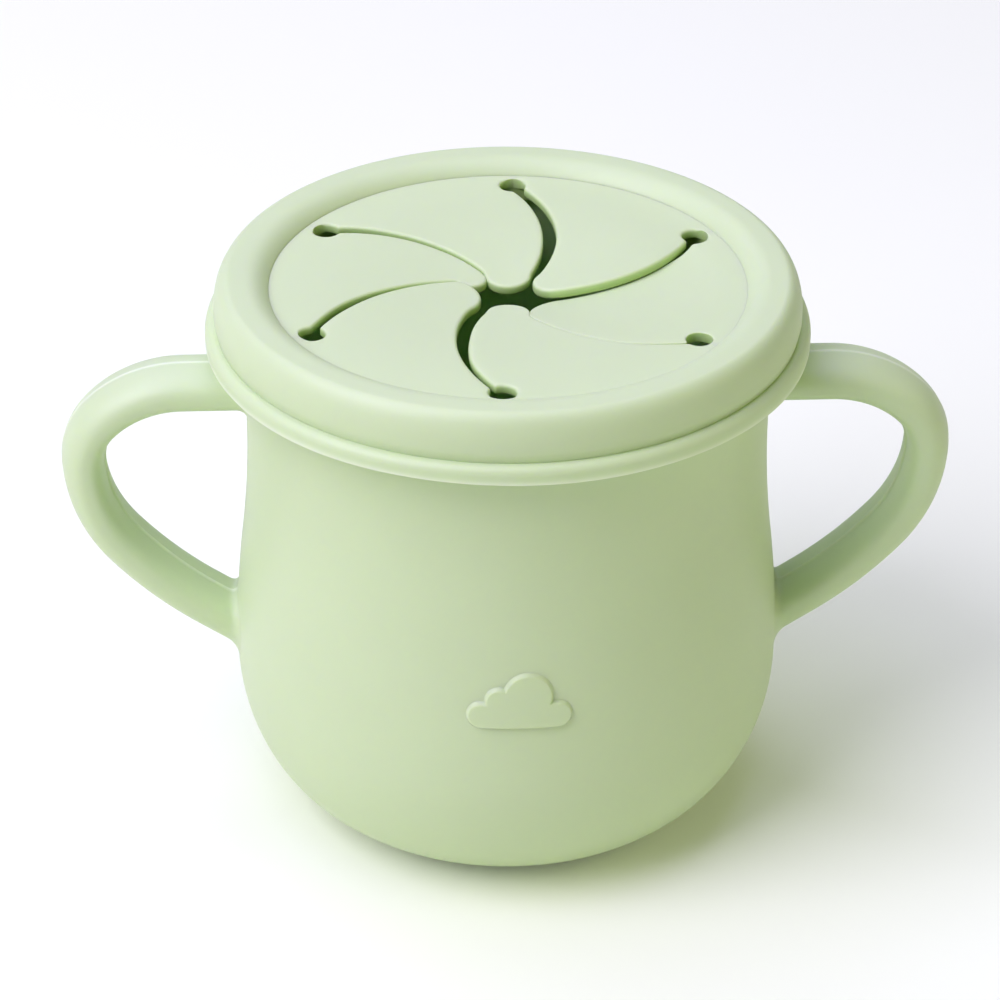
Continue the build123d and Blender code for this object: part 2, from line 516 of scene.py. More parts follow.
@dataclass
class Cup:
    """The cup moulding: pot-shaped wall, bead, base, two loop handles and the raised cloud. Millimetres.

    A handle's bends are pairs of radius and angle. The parting line's heights are those outside and inside
    the loop. A puff of the cloud is its place across and up, and its radius.
    """

    belly_radius: float = 41.9
    belly_height: float = 24.4
    neck_radius: float = 39.3
    neck_height: float = 64.4
    foot_radius: float = 23.4
    mouth_height: float = 85.6
    wall: float = 3.0
    base_thickness: float = 3.2
    mouth_round: float = 0.9
    foot_ring_width: float = 5.0
    foot_recess_depth: float = 0.8
    pole_radius: float = 0.6
    bead_reach: float = 1.6
    bead_height: float = 5.2
    bead_round: float = 0.8
    segments: int = 224
    handle_half_depth: float = 5.85
    handle_half_thickness: float = 3.60
    handle_inner_thickness: float = 2.84
    handle_inner_power: float = 3.0
    handle_height: float = 70.4
    handle_start: float = 4.0
    handle_step: float = 0.7
    handle_run: float = 9.4
    handle_bends: tuple[Pair, ...] = ((17.0, 45.0), (10.6, 45.0), (22.8, 40.0), (62.0, 17.0))
    flare: float = 1.6
    root_lead: float = 0.6
    root_room: float = 0.8
    root_depth: float = 0.5
    parting_heights: Pair = (0.07, 0.24)
    parting_width: float = 0.20
    parting_step: float = 0.03
    # Half width of the band of painted highlight along the parting ridge.
    parting_highlight_band: float = 0.3
    cloud_width: float = 15.6
    cloud_foot_height: float = 4.4
    cloud_height: float = 37.4
    cloud_raise: float = 0.6
    cloud_margin: float = 0.6
    cloud_span: Pair = (-2.9, 7.7)
    cloud_skirt: float = 0.12
    cloud_edge: float = 0.55
    cloud_sink: float = 0.02
    cloud_thickness: float = 0.9
    cloud_puffs: tuple[tuple[float, float, float], ...] = ((-2.9, 2.4, 2.2), (1.3, 3.2, 3.7))

    def wall_radius(self, z: Array, inset: float = 0.0, floor: float = 0.0) -> Array:
        """Radius of the wall at a height: a quarter ellipse for the heel, then two equal arcs, one out and
        one in, that meet halfway between belly and neck, then straight up.

        Args:
            z: Heights.
            inset: How far the wall lies inside the outer one.
            floor: Height at which the heel starts.

        Returns:
            Radii.
        """
        z = np.asarray(z, float)
        belly, neck = self.belly_radius - inset, self.neck_radius - inset
        half_rise, half_run = (self.neck_height - self.belly_height) / 2, (belly - neck) / 2
        bend = (half_rise**2 + half_run**2) / (2 * half_run)
        share = np.clip((self.belly_height - z) / (self.belly_height - floor), 0.0, 1.0)
        heel = self.foot_radius + (belly - self.foot_radius) * np.sqrt(1.0 - share**2)
        low = belly - bend + np.sqrt(np.maximum(bend**2 - (z - self.belly_height) ** 2, 0.0))
        high = neck + bend - np.sqrt(np.maximum(bend**2 - (self.neck_height - z) ** 2, 0.0))
        middle = (self.belly_height + self.neck_height) / 2
        radius = np.where(z < self.belly_height, heel, np.where(z < middle, low, high))
        return np.where(z > self.neck_height, neck, radius)

    def profile(self) -> Array:
        """Section of the shell: from under the middle out, up the wall, over the mouth and down inside.

        Returns:
            Rows of radius and height.
        """
        ring = self.foot_radius - self.foot_ring_width
        depth, pole = self.foot_recess_depth, self.pole_radius
        recess = ring - depth * math.tan(math.radians(30))
        top, bead = self.mouth_height, self.neck_radius + self.bead_reach
        bead_foot, b = top - self.bead_height, self.bead_round
        heel_middle = (self.foot_radius, self.belly_height)
        heel = arc(heel_middle, self.belly_radius - self.foot_radius, self.belly_height, -90, 0, 44)
        rise = np.linspace(self.belly_height, bead_foot, 60)
        inner_rise = np.linspace(top - self.mouth_round, self.belly_height, 40)
        inner = self.neck_radius - self.wall
        inner_heel = arc(
            heel_middle,
            self.belly_radius - self.wall - self.foot_radius,
            self.belly_height - self.base_thickness,
            0,
            -90,
            28,
        )
        m = self.mouth_round
        return joined(
            legs([(pole, depth), (recess, depth), (ring, 0.0), (self.foot_radius, 0.0)], (12, 4, 6)),
            heel,
            np.stack([self.wall_radius(rise), rise], axis=1),
            run((self.neck_radius, bead_foot), (bead - b, bead_foot), 3),
            arc((bead - b, bead_foot + b), b, b, -90, 0, 6),
            arc((bead - b, top - b), b, b, 0, 90, 6),
            arc((inner + m, top - m), m, m, 90, 180, 8),
            np.stack([self.wall_radius(inner_rise, self.wall, self.base_thickness), inner_rise], axis=1),
            inner_heel,
            run((self.foot_radius, self.base_thickness), (pole, self.base_thickness), 12),
        )

    def shell(self) -> bpy.types.Object:
        """The wall, base and bead, turned from one section.

        Returns:
            The piece, which stands for the cup body.
        """
        points, faces = lathe(self.profile(), self.segments, closed=False)
        radius, z = np.hypot(points[:, 0], points[:, 1]), points[:, 2]
        # Painted light: the wall's inside gets a brighter pigment that stands in for light coming through the
        # wall.
        inner = (z > self.base_thickness - 0.1) & (z < self.mouth_height - 0.1)
        inner &= radius < self.wall_radius(z, self.wall, self.base_thickness) + 0.2
        piece = make_piece("cup_shell", points, faces, marks={Mark.PAINTED_GLOW: inner.astype(float)})
        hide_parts("cup_body")
        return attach(piece, "cup")

    def handle_line(self) -> tuple[Array, Array]:
        """Middle line of a handle in its plane: a level run, then arcs that each go on in the last one's way.

        Returns:
            Rows of x and z, and the direction at each in radians.
        """
        x, z, way = self.neck_radius + self.handle_start, self.handle_height, 0.0
        end = self.neck_radius + self.handle_run
        points, ways = [run((x, z), (end, z), 8)], [np.zeros(8)]
        x = end
        for radius, turn in self.handle_bends:
            count = max(8, int(radius * math.radians(turn) / self.handle_step))
            a = way - np.radians(np.linspace(0.0, turn, count + 1))[1:]
            middle = np.array([x + radius * math.sin(way), z - radius * math.cos(way)])
            stretch = middle + radius * np.stack([-np.sin(a), np.cos(a)], axis=1)
            points.append(stretch)
            ways.append(a)
            x, z, way = stretch[-1, 0], stretch[-1, 1], a[-1]
        return np.concatenate(points), np.concatenate(ways)

    def _root(self, base: Array, normal: Array, way: Pair, distances: Array) -> Array:
        """Rings that carry the handle's section on in a straight line to the wall and flare it like a fillet:
        at a distance D from the wall the section stands proud by r - sqrt(r squared - (r - D) squared).

        Args:
            base: Ring that the rings go on from, rows of x, y and z.
            normal: Unit normals of the section at the ring's points.
            way: Direction of the straight line in the handle's plane.
            distances: Distances from the wall, along X, of the rings.

        Returns:
            Array of rings, points and coordinates.
        """
        r = self.flare
        rings = []
        step = np.array([way[0], 0.0, way[1]])
        for distance in distances:
            gap = np.clip(r - distance, 0.0, r)
            proud = r - math.sqrt(r * r - float(gap) ** 2)
            t = np.zeros(len(base))
            for _ in range(12):
                place = base + t[:, None] * step + proud * normal
                wall_x = np.sqrt(np.maximum(self.wall_radius(place[:, 2]) ** 2 - place[:, 1] ** 2, 1.0))
                t += (place[:, 0] - wall_x - distance) / abs(way[0])
            rings.append(base + t[:, None] * step + proud * normal)
        return np.stack(rings)

    def handle_section(self, theta: Array) -> tuple[Array, Array, Array]:
        """A handle's section: half an ellipse outside the loop, and inside it half a flatter curve,
        |across / a|^p + |out / b|^p = 1.

        Args:
            theta: Parameter of each point in radians, 90 degrees outside the loop.

        Returns:
            How far each point lies across the loop's plane and out from the middle line, and its unit normal.
        """
        inside = np.sin(theta) < 0
        power = np.where(inside, self.handle_inner_power, 2.0)
        thickness = np.where(inside, self.handle_inner_thickness, self.handle_half_thickness)
        c, s = np.cos(theta), np.sin(theta)
        across = self.handle_half_depth * np.sign(c) * np.abs(c) ** (2 / power)
        out = thickness * np.sign(s) * np.abs(s) ** (2 / power)
        normal = np.stack(
            [
                np.sign(c) * np.abs(across / self.handle_half_depth) ** (power - 1) / self.handle_half_depth,
                np.sign(s) * np.abs(out / thickness) ** (power - 1) / thickness,
            ],
            axis=1,
        )
        return across, out, normal / np.linalg.norm(normal, axis=1)[:, None]

    def handle(self, name: str, node: str, side: int) -> bpy.types.Object:
        """A loop handle: its section carried along the middle line, with a fine ridge on its middle
        plane where the two halves of the mould meet, exp(-(y / w) squared) high and prouder inside the loop,
        a slight step from one half to the other, a painted highlight in a band along the ridge, and roots
        that flare into the wall.

        Args:
            name: Name of the piece.
            node: The solid that it stands for.
            side: 1 for the right handle, -1 for the left one.

        Returns:
            The piece.
        """
        line, ways = self.handle_line()
        coarse, near = np.linspace(0, 360, 72, endpoint=False), np.array([0.8, 1.6, 2.4, 3.4, 4.5])
        fine = [middle + way * near for middle in (90.0, 270.0) for way in (-1, 1)]
        theta = np.radians(np.unique(np.concatenate([coarse, *fine])))
        across, out, normal = self.handle_section(theta)
        height = np.where(out > 0, *self.parting_heights)
        ridge = height * np.exp(-((across / self.parting_width) ** 2))
        ridge += self.parting_step * np.tanh(2 * across / self.parting_width)
        across, out = across + ridge * normal[:, 0], out + ridge * normal[:, 1]
        up = np.stack([-np.sin(ways), np.cos(ways)], axis=1)
        tube = np.empty((len(line), len(theta), 3))
        tube[..., 0] = line[:, :1] + up[:, :1] * out
        tube[..., 1] = across
        tube[..., 2] = line[:, 1:] + up[:, 1:] * out
        r = self.flare
        wall_x = np.sqrt(np.maximum(self.wall_radius(tube[..., 2]) ** 2 - tube[..., 1] ** 2, 1.0))
        off_wall = tube[..., 0] - wall_x
        clear = np.flatnonzero(off_wall.min(axis=1) > r + self.root_room)
        first, last_clear = clear[0], clear[-1]
        rounding = r * (1 - np.sin(np.radians([15, 30, 45, 60, 72, 82])))
        distances = np.concatenate([[r + self.root_lead, r], rounding, [0.0, -self.root_depth]])
        normals = [
            np.stack([up[i, 0] * normal[:, 1], normal[:, 0], up[i, 1] * normal[:, 1]], axis=1)
            for i in (first, last_clear)
        ]
        end = ways[last_clear]
        top = self._root(tube[first], normals[0], (-1.0, 0.0), distances)
        foot = self._root(tube[last_clear], normals[1], (math.cos(end), math.sin(end)), distances)
        rings = np.concatenate([top[::-1], tube[first : last_clear + 1], foot])
        rows, columns = rings.shape[:2]
        poles = np.stack([rings[0].mean(axis=0), rings[-1].mean(axis=0)])
        points = np.concatenate([rings.reshape(-1, 3), poles])
        c, last = np.arange(columns), (rows - 1) * columns
        near = np.stack([np.full(columns, rows * columns), c, (c + 1) % columns], axis=1)
        far = np.stack([np.full(columns, rows * columns + 1), last + (c + 1) % columns, last + c], axis=1)
        faces = [grid_faces(rows, columns, closed_columns=True)[:, ::-1], near[:, ::-1], far[:, ::-1]]
        points[:, 0] *= side
        if side > 0:
            faces = [part[:, ::-1] for part in faces]
        # Painted highlight: a paler pigment in a band along the parting ridge, where the ridge catches the
        # light.
        painted_light = np.exp(-((points[:, 1] / self.parting_highlight_band) ** 2))
        piece = make_piece(name, points, faces, marks={Mark.PAINTED_LIGHT: painted_light})
        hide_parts(node)
        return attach(piece, "cup")

    def cloud(self) -> bpy.types.Object:
        """The raised cloud: a sheet over the front wall that stands proud by a rounded step where the signed
        distance inside the outline grows from 0, and dips under the wall outside it.

        Returns:
            The piece, which stands for the front motif.
        """
        half, margin, skirt, sink = self.cloud_width / 2, self.cloud_margin, self.cloud_skirt, self.cloud_sink
        across = np.linspace(-half - margin, half + margin, 150)
        x, z = np.meshgrid(across, np.linspace(*self.cloud_span, 100))
        foot = self.cloud_foot_height / 2
        inside = foot - np.hypot(np.maximum(np.abs(x) - (half - foot), 0.0), z)
        for puff_x, puff_z, puff_radius in self.cloud_puffs:
            inside = np.maximum(inside, puff_radius - np.hypot(x - puff_x, z - puff_z))
        step = smoothstep((inside + skirt) / self.cloud_edge)
        raised = -sink + (self.cloud_raise + sink) * step
        height = np.where(inside > -skirt, raised, -sink + (inside + skirt) * 0.8)
        high = z + self.cloud_height
        radius = self.wall_radius(high)
        angle = x / radius
        sheets = []
        for lift in (height, np.full_like(height, -self.cloud_thickness)):
            r = radius + lift
            sheets.append(np.stack([r * np.sin(angle), -r * np.cos(angle), high], axis=-1).reshape(-1, 3))
        rows, columns = x.shape
        front = grid_faces(rows, columns)
        back = front[:, ::-1] + rows * columns
        rim = border(rows, columns)
        after = np.roll(rim, -1)
        side = np.stack([after, rim, rim + rows * columns, after + rows * columns], axis=1)
        piece = make_piece("front_cloud", np.concatenate(sheets), [front, back, side], crease=60.0)
        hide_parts("front_motif")
        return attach(piece, "cup")

    def build(self, finish: bpy.types.Material) -> list[bpy.types.Object]:
        """Makes the cup's pieces and gives them their finish.

        Args:
            finish: The silicone's material.

        Returns:
            The pieces.
        """
        pieces = [
            self.shell(),
            self.handle("handle_loop_left", "left_handle", -1),
            self.handle("handle_loop_right", "right_handle", 1),
            self.cloud(),
        ]
        for piece in pieces:
            piece.data.materials.append(finish)
        return pieces


# The lid.


@dataclass(frozen=True)
class SlitSide:
    """One side of a slit at rest, at the lid's stations along it: how far it stands back from the slit's
    middle line, how far it hangs lower than the membrane, how round its edge is, and how much further inward
    it runs than the other side. Millimetres."""

    aside: tuple[float, float, float, float]
    drop: tuple[float, float, float, float] = (0.0, 0.0, 0.0, 0.0)
    edge: float = 0.45
    further: float = 0.0


@dataclass(frozen=True)
class Slit:
    """How a slit lies at rest: the side that belongs to the petal clockwise of it, the other side, and how
    far short of the notch's circle it opens."""

    clockwise: SlitSide
    other: SlitSide
    short: float = 0.0


@dataclass
class Lid:
    """The lid moulding: rolled rim with flange and lip, and six petals cut into the membrane. Millimetres.

    The stations are the shares of a slit's length, from its hole, that its sides' numbers belong to; up to
    the drop station a side hangs no lower than the membrane. A waver of the flange is its height, its waves
    round the rim and its phase. A petal's bend run, from its hinge inwards, is not used.
    """

    mouth_height: float = 85.6
    seat: float = 85.75
    crest_top: float = 88.5
    membrane_top: float = 86.4
    membrane_bottom: float = 84.8
    membrane_radius: float = 35.4
    crest_inner_radius: float = 39.0
    shoulder_bow: float = 0.56
    crest_radius: float = 41.1
    rim_radius: float = 43.6
    shoulder_drop: float = 4.6
    crease_height: float = 1.5
    crease_depth: float = 0.3
    flange_radius: float = 45.0
    flange_height: float = 2.6
    flange_round: float = 1.3
    foot: float = 78.7
    skirt_inner_radius: float = 41.2
    lip_inner_radius: float = 39.45
    lip_height: float = 1.4
    lip_chamfer: float = 0.6
    locating_outer_radius: float = 36.0
    locating_inner_radius: float = 34.4
    locating_depth: float = 3.2
    wavers: tuple[tuple[float, int, float], ...] = ((0.06, 3, 0.7), (0.04, 7, 2.1))
    # Where the painted light through the flange's thin edge begins, outward and downward.
    flange_glow_radius: float = 44.2
    flange_glow_height: float = 79.6
    segments: int = 256
    petal_count: int = 6
    lid_angle: float = -3.9
    hole_circle_radius: float = 32.3
    hole_radius: float = 2.0
    slit_bow: float = 3.8
    notch_radius: float = 7.3
    notch_angle: float = 33.0
    nose_reaches: tuple[float, ...] = (2.3, 1.5, 3.8, 2.2, 2.7, 3.9)
    sag: float = 2.1
    sag_radius: float = 30.0
    bend_run: float = 5.0
    edge_step: float = 0.2
    corner_blur: float = 0.34
    side_blur: float = 6.0
    side_points: int = 170
    nose_points: int = 28
    slit_points: int = 120
    unfolding_rounds: int = 300
    edge_angles: tuple[int, ...] = (30, 60, 90)
    # Share of the painted shade on each ring of a petal's rounded edge, from the upper face to the lower one.
    painted_shade_shares: tuple[float, ...] = (0.1, 0.3, 0.6, 1.0, 0.9, 0.4)
    stations: tuple[float, float, float, float] = (0.12, 0.35, 0.65, 1.0)
    drop_station: float = 0.04
    slits: tuple[Slit, ...] = (
        Slit(SlitSide((0.66, 0.79, 1.00, 0.60)), SlitSide((1.10, 1.20, 1.06, 0.60))),
        Slit(
            SlitSide((0.30, -0.75, -0.80, -0.55), (0.70, 1.30, 1.35, 1.35)),
            SlitSide((0.50, 0.20, 0.25, 0.50), (-0.10, -0.35, -0.35, -0.35)),
            short=0.2,
        ),
        Slit(
            SlitSide((1.10, 1.50, 1.20, 0.60), edge=0.15),
            SlitSide((-0.90, -1.45, -1.17, -0.56), edge=0.15),
            short=0.7,
        ),
        Slit(SlitSide((0.60, 0.75, 1.04, 1.60)), SlitSide((0.20, 0.16, 0.86, 0.80))),
        Slit(SlitSide((0.90, 1.45, 1.80, 2.75)), SlitSide((0.20, -0.10, -1.10, -2.70), further=0.7)),
        Slit(SlitSide((0.80, 0.00, -0.36, -0.50)), SlitSide((0.90, 1.06, 1.16, 0.80))),
    )

    @property
    def locating_tip(self) -> float:
        """Height of the lower end of the wall that centres the lid."""
        return self.mouth_height - self.locating_depth

    def profile(self) -> Array:
        """Section of the rim: up the inner shoulder, over the crest, down the wall and its crease, round the
        flange, in under the lip and the skirt, and round the wall that centres the lid.

        Returns:
            Rows of radius and height, the solid on the left.
        """
        rim, flash = self.rim_radius, self.flange_radius
        skirt, lip = self.skirt_inner_radius, self.lip_inner_radius
        f, fr, chamfer = self.foot, self.flange_round, self.lip_chamfer
        top, lip_top = f + self.flange_height, f + self.lip_height
        groove, crease = rim - self.crease_depth, top + self.crease_height
        out, inn, tip = self.locating_outer_radius, self.locating_inner_radius, self.locating_tip
        t = (out - inn) / 3
        border_point = np.array([self.membrane_radius, self.membrane_top])
        crest_point = np.array([self.crest_inner_radius, self.crest_top])
        shoulder, under = self.crest_top - self.shoulder_drop, self.membrane_bottom
        outward = joined(
            bowed(border_point, crest_point, self.shoulder_bow, 16),
            run(tuple(crest_point), (self.crest_radius, self.crest_top), 6),
            arc((self.crest_radius, shoulder), rim - self.crest_radius, self.shoulder_drop, 90, 0, 18),
            legs([(rim, shoulder), (rim, crease), (groove, top), (flash - fr, top)], (3, 5, 3)),
            arc((flash - fr, top - fr), fr, fr, 90, 0, 10),
            legs([(flash, top - fr), (flash, f), (lip + chamfer, f), (lip, f + chamfer)], (5, 5, 3)),
            legs([(lip, f + chamfer), (lip, lip_top), (skirt, lip_top)], (3, 3)),
            legs([(skirt, lip_top), (skirt, self.seat), (out, self.seat), (out, tip + t)], (4, 5, 3)),
            arc((out - t, tip + t), t, t, 0, -90, 5),
            arc((inn + t, tip + t), t, t, -90, -180, 5),
            legs([(inn, tip + t), (inn, under), (border_point[0], under), tuple(border_point)], (3, 2, 2)),
        )
        return outward[:-1][::-1]

    def rim(self) -> bpy.types.Object:
        """The rim, turned from its section, with a slight waver of the flange's edge.

        Returns:
            The piece, which stands for the rim and the snap lip.
        """
        profile = self.profile()
        a = np.arange(self.segments) * 2 * math.pi / self.segments
        out = (profile[:, 0] - self.rim_radius) / (self.flange_radius - self.rim_radius)
        share = smoothstep(out)[:, None]
        ripple = share * sum(height * np.sin(waves * a + phase) for height, waves, phase in self.wavers)
        points, faces = lathe(profile, self.segments, closed=True, ripple=ripple)
        radius = np.hypot(points[:, 0], points[:, 1])
        # Painted light: the flange's thin outer edge is paler, as if light came through the silicone.
        painted_light = smoothstep((radius - self.flange_glow_radius) / 0.8)
        painted_light *= smoothstep((self.flange_glow_height - points[:, 2]) / 0.9)
        # Painted shade: the wall that centres the lid and the underside of the membrane's ring get a deeper
        # pigment, so they read dark through the holes.
        painted_shade = (radius < self.locating_outer_radius + 0.1) & (points[:, 2] < self.membrane_bottom + 0.1)
        marks = {Mark.PAINTED_LIGHT: painted_light, Mark.PAINTED_SHADE: painted_shade.astype(float)}
        piece = make_piece("lid_rolled_rim", points, faces, marks=marks)
        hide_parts("lid_rim", "lid_snap_lip")
        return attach(piece, "lid")

    def hole_angle(self, number: float) -> float:
        """Angle of a slit's hole in degrees, counted clockwise from the one at the back."""
        return 90 + self.lid_angle - 360 / self.petal_count * number

    @staticmethod
    def _at(radius: float, angle: float) -> Array:
        """Point of the lid's plan at a radius and an angle in degrees."""
        return radius * np.array([math.cos(math.radians(angle)), math.sin(math.radians(angle))])

    def slit_edge(self, number: int, clockwise: bool) -> Array:
        """One edge of a slit, from the membrane's border in past the hole to the notch: a radial run, the
        hole's half circle, then the slit's middle line moved aside by what the slit's side says.

        Args:
            number: The slit.
            clockwise: Whether the edge belongs to the petal clockwise of the slit.

        Returns:
            Rows of x, y and how far the edge hangs lower than the membrane.
        """
        slit = self.slits[number % self.petal_count]
        side = slit.clockwise if clockwise else slit.other
        angle = self.hole_angle(number)
        hole = self._at(self.hole_circle_radius, angle)
        notch = self._at(self.notch_radius, angle - self.notch_angle)
        middle = bowed(hole, notch, self.slit_bow, self.slit_points)
        t = np.linspace(0.0, 1.0, self.slit_points)
        aside = np.interp(t, self.stations, side.aside)
        drop = np.interp(t, (self.drop_station, *self.stations), (0.0, *side.drop))
        aside, drop = softened(np.stack([aside, drop], axis=1), self.side_blur).T
        way = np.gradient(middle, axis=0)
        left = np.stack([-way[:, 1], way[:, 0]], axis=1) / np.linalg.norm(way, axis=1)[:, None]
        edge = middle + (1 if clockwise else -1) * aside[:, None] * left
        clear = np.linalg.norm(edge - hole, axis=1) > self.hole_radius
        length = np.linalg.norm(np.diff(middle, axis=0), axis=1).sum()
        clear &= np.linspace(1.0, 0.0, len(t)) * length >= slit.short
        edge, drop = edge[clear], drop[clear]
        if side.further > 0:
            on = edge[-1] + side.further * way[-1] / np.linalg.norm(way[-1])
            edge = joined(edge, run(tuple(edge[-1]), tuple(on), 12))
            drop = np.append(drop, np.full(len(edge) - len(drop), drop[-1]))
        start, end = math.radians(angle), math.atan2(*(edge[0] - hole)[::-1])
        turn = (start - end) % (2 * math.pi) if clockwise else (end - start) % (2 * math.pi)
        around = start + (-1 if clockwise else 1) * np.linspace(0.0, turn, 30)
        circle = hole + self.hole_radius * np.stack([np.cos(around), np.sin(around)], axis=1)
        outer = run(tuple(self._at(self.membrane_radius, angle)), tuple(circle[0]), 5)
        return joined(
            np.column_stack([outer, np.zeros(len(outer))]),
            np.column_stack([circle, drop[0] * np.linspace(0.0, 1.0, len(circle)) ** 2]),
            np.column_stack([edge, drop]),
        )

    def outline(self, number: int) -> tuple[Array, Array, Array, Array]:
        """The four sides of a petal, with their corners softened but for those on the membrane's border.

        Args:
            number: The petal, which lies clockwise of the slit of the same number.

        Returns:
            Edge at the first slit, nose, edge at the second slit, and the membrane's border, each from the
            border inwards or from the first slit to the second one, in rows of x, y and drop.
        """
        first, second = self.slit_edge(number, True), self.slit_edge(number + 1, False)
        nose = bowed(first[-1, :2], second[-1, :2], -self.nose_reaches[number], 40)
        hang = first[-1, 2] + np.linspace(0.0, 1.0, len(nose)) * (second[-1, 2] - first[-1, 2])
        raw = joined(first, np.column_stack([nose, hang])[1:-1], second[::-1])
        step, hole_end = self.edge_step, self.hole_circle_radius + self.hole_radius
        reach = [float(np.linalg.norm(np.diff(edge, axis=0), axis=1).sum()) for edge in (raw, first, second)]
        raw = divided(raw, round(reach[0] / step))
        from_border = step * np.minimum(np.arange(len(raw)), np.arange(len(raw))[::-1])[:, None]
        blend = smoothstep((from_border - self.membrane_radius + hole_end - 0.8) / 1.2)
        whole = raw + blend * (softened(raw, self.corner_blur / step) - raw)
        i, j = round(reach[1] / step) - 3, len(whole) + 2 - round(reach[2] / step)
        ends = self.hole_angle(number), self.hole_angle(number + 1)
        a = np.radians(np.linspace(*ends, self.nose_points + 1))
        c = self.membrane_radius * np.stack([np.cos(a), np.sin(a)], axis=1)
        return (
            pinned(divided(whole[: i + 1], self.side_points), self._at(hole_end, ends[0])),
            divided(whole[i : j + 1], self.nose_points),
            pinned(divided(whole[j:][::-1], self.side_points), self._at(hole_end, ends[1])),
            np.column_stack([c, np.zeros(len(c))]),
        )

    def petal(self, number: int) -> bpy.types.Object:
        """A petal with its share of the membrane's fixed ring, as one soft sheet: a patch between its four
        sides with a rounded edge along the slits and the nose. It hangs like a beam under its own weight, by
        s (x^4 - 4 x^3 + 6 x^2) / 3 at x of the way from the sag's radius to the middle, and lower where its
        edges hang lower.

        Args:
            number: The petal, counted clockwise from the back.

        Returns:
            The piece.
        """
        first, nose, second, fixed = self.outline(number)
        rows, columns = len(first), len(nose)
        grid = np.zeros((rows, columns, 3))
        grid[:, 0], grid[:, -1], grid[0], grid[-1] = first, second, fixed, nose
        drop = patched(grid)[..., 2]

        loop = border(rows, columns)
        row, column = loop // columns, loop % columns
        edge = grid[row, column, :2]
        inward = self._inward(edge)
        out = np.linalg.norm(edge, axis=1)
        free = ((row > 0) & ((column == 0) | (column == columns - 1))) | (row == rows - 1)
        share = column / (columns - 1)
        sides = self.slits[number].clockwise, self.slits[(number + 1) % self.petal_count].other
        hole_end = self.hole_circle_radius + self.hole_radius
        rounding = (1 - share) * sides[0].edge + share * sides[1].edge
        soft = free * smoothstep((hole_end - out) / 0.9) * rounding
        grid[row, column, :2] = edge + inward * soft[:, None]
        plan = unfolded(patched(grid)[..., :2], self.unfolding_rounds)

        x = np.clip(1.0 - np.linalg.norm(plan, axis=-1) / self.sag_radius, 0.0, 1.0)
        lift = -(self.sag * (x**4 - 4 * x**3 + 6 * x**2) / 3 + drop)
        points, faces = self._sheet(plan, lift, edge, inward, soft)
        # Painted shade: the slits' cut faces get a deeper pigment, where shade falls between the petals.
        walls = free & (out < hole_end + 0.1)
        painted_shade = np.concatenate([np.zeros(2 * rows * columns), *[share * walls for share in self.painted_shade_shares]])
        piece = make_piece(f"petal_{number + 1}_sheet", points, faces, crease=50.0, marks={Mark.PAINTED_SHADE: painted_shade})
        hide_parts(f"lid_petal_{number + 1}")
        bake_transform(piece)
        return piece

    @staticmethod
    def _inward(edge: Array) -> Array:
        """Unit vectors into the plan from the points of its closed outline, square to the way from each
        point's last neighbour to its next one.

        Args:
            edge: The outline, once round.

        Returns:
            Array of the same shape.
        """
        way = np.roll(edge, -1, axis=0) - np.roll(edge, 1, axis=0)
        way /= np.maximum(np.linalg.norm(way, axis=1)[:, None], 1e-9)
        inward = np.stack([-way[:, 1], way[:, 0]], axis=1)
        return inward if np.sum((edge.mean(axis=0) - edge) * inward) >= 0 else -inward

    def _sheet(
        self, plan: Array, lift: Array, edge: Array, inward: Array, soft: Array
    ) -> tuple[Array, list[Array]]:
        """Upper and lower face of a petal over one plan, and between them the rings of its rounded edge: at
        an angle a the edge of radius r lies r (1 - sin a) inside the outline and r (1 - cos a) below or above
        the face.

        Args:
            plan: Rows and columns of x and y.
            lift: How far each point lies above the flat membrane.
            edge: The outline, in the order of the grid's border.
            inward: Unit vectors into the plan at the outline's points.
            soft: Radius of the edge's rounding at the outline's points.

        Returns:
            Points and faces.
        """
        rows, columns = plan.shape[:2]
        loop, flat, lift = border(rows, columns), plan.reshape(-1, 2), lift.reshape(-1)
        faces_z = self.membrane_top, self.membrane_bottom
        points = [np.column_stack([flat, z + lift]) for z in faces_z]
        rings = [(faces_z[0], -1, angle) for angle in self.edge_angles]
        rings += [(faces_z[1], 1, angle) for angle in self.edge_angles[::-1]]
        for z, way, angle in rings:
            s, k = math.sin(math.radians(angle)), math.cos(math.radians(angle))
            place = edge + inward * (soft * (1 - s))[:, None]
            points.append(np.column_stack([place, z + lift[loop] + way * soft * (1 - k)]))
        total = len(flat)
        between = [2 * total + i * len(loop) + np.arange(len(loop)) for i in range(len(rings))]
        chain = [loop, *between, loop + total]
        sheet = grid_faces(rows, columns)
        faces = [sheet, sheet[:, ::-1] + total]
        for upper, lower in zip(chain, chain[1:]):
            faces.append(np.stack([upper, np.roll(upper, -1), np.roll(lower, -1), lower], axis=1)[:, ::-1])
        down, across = plan[1:, :-1] - plan[:-1, :-1], plan[:-1, 1:] - plan[:-1, :-1]
        if np.sum(down[..., 0] * across[..., 1] - down[..., 1] * across[..., 0]) > 0:
            faces = [part[:, ::-1] for part in faces]
        return np.concatenate(points), faces

    def build(self, finish: bpy.types.Material) -> list[bpy.types.Object]:
        """Makes the lid's pieces and gives them their finish.

        Args:
            finish: The silicone's material.

        Returns:
            The pieces.
        """
        pieces = [self.rim(), *[self.petal(number) for number in range(self.petal_count)]]
        for piece in pieces:
            piece.data.materials.append(finish)
        return pieces


# The studio.


@dataclass(frozen=True)
class Lamp:
    """A soft lamp: its place and side in metres, its power in watts and its tint."""

    name: str
    place: tuple[float, float, float]
    size: float
    power: float
    tint: Colour = (1.0, 1.0, 1.0)


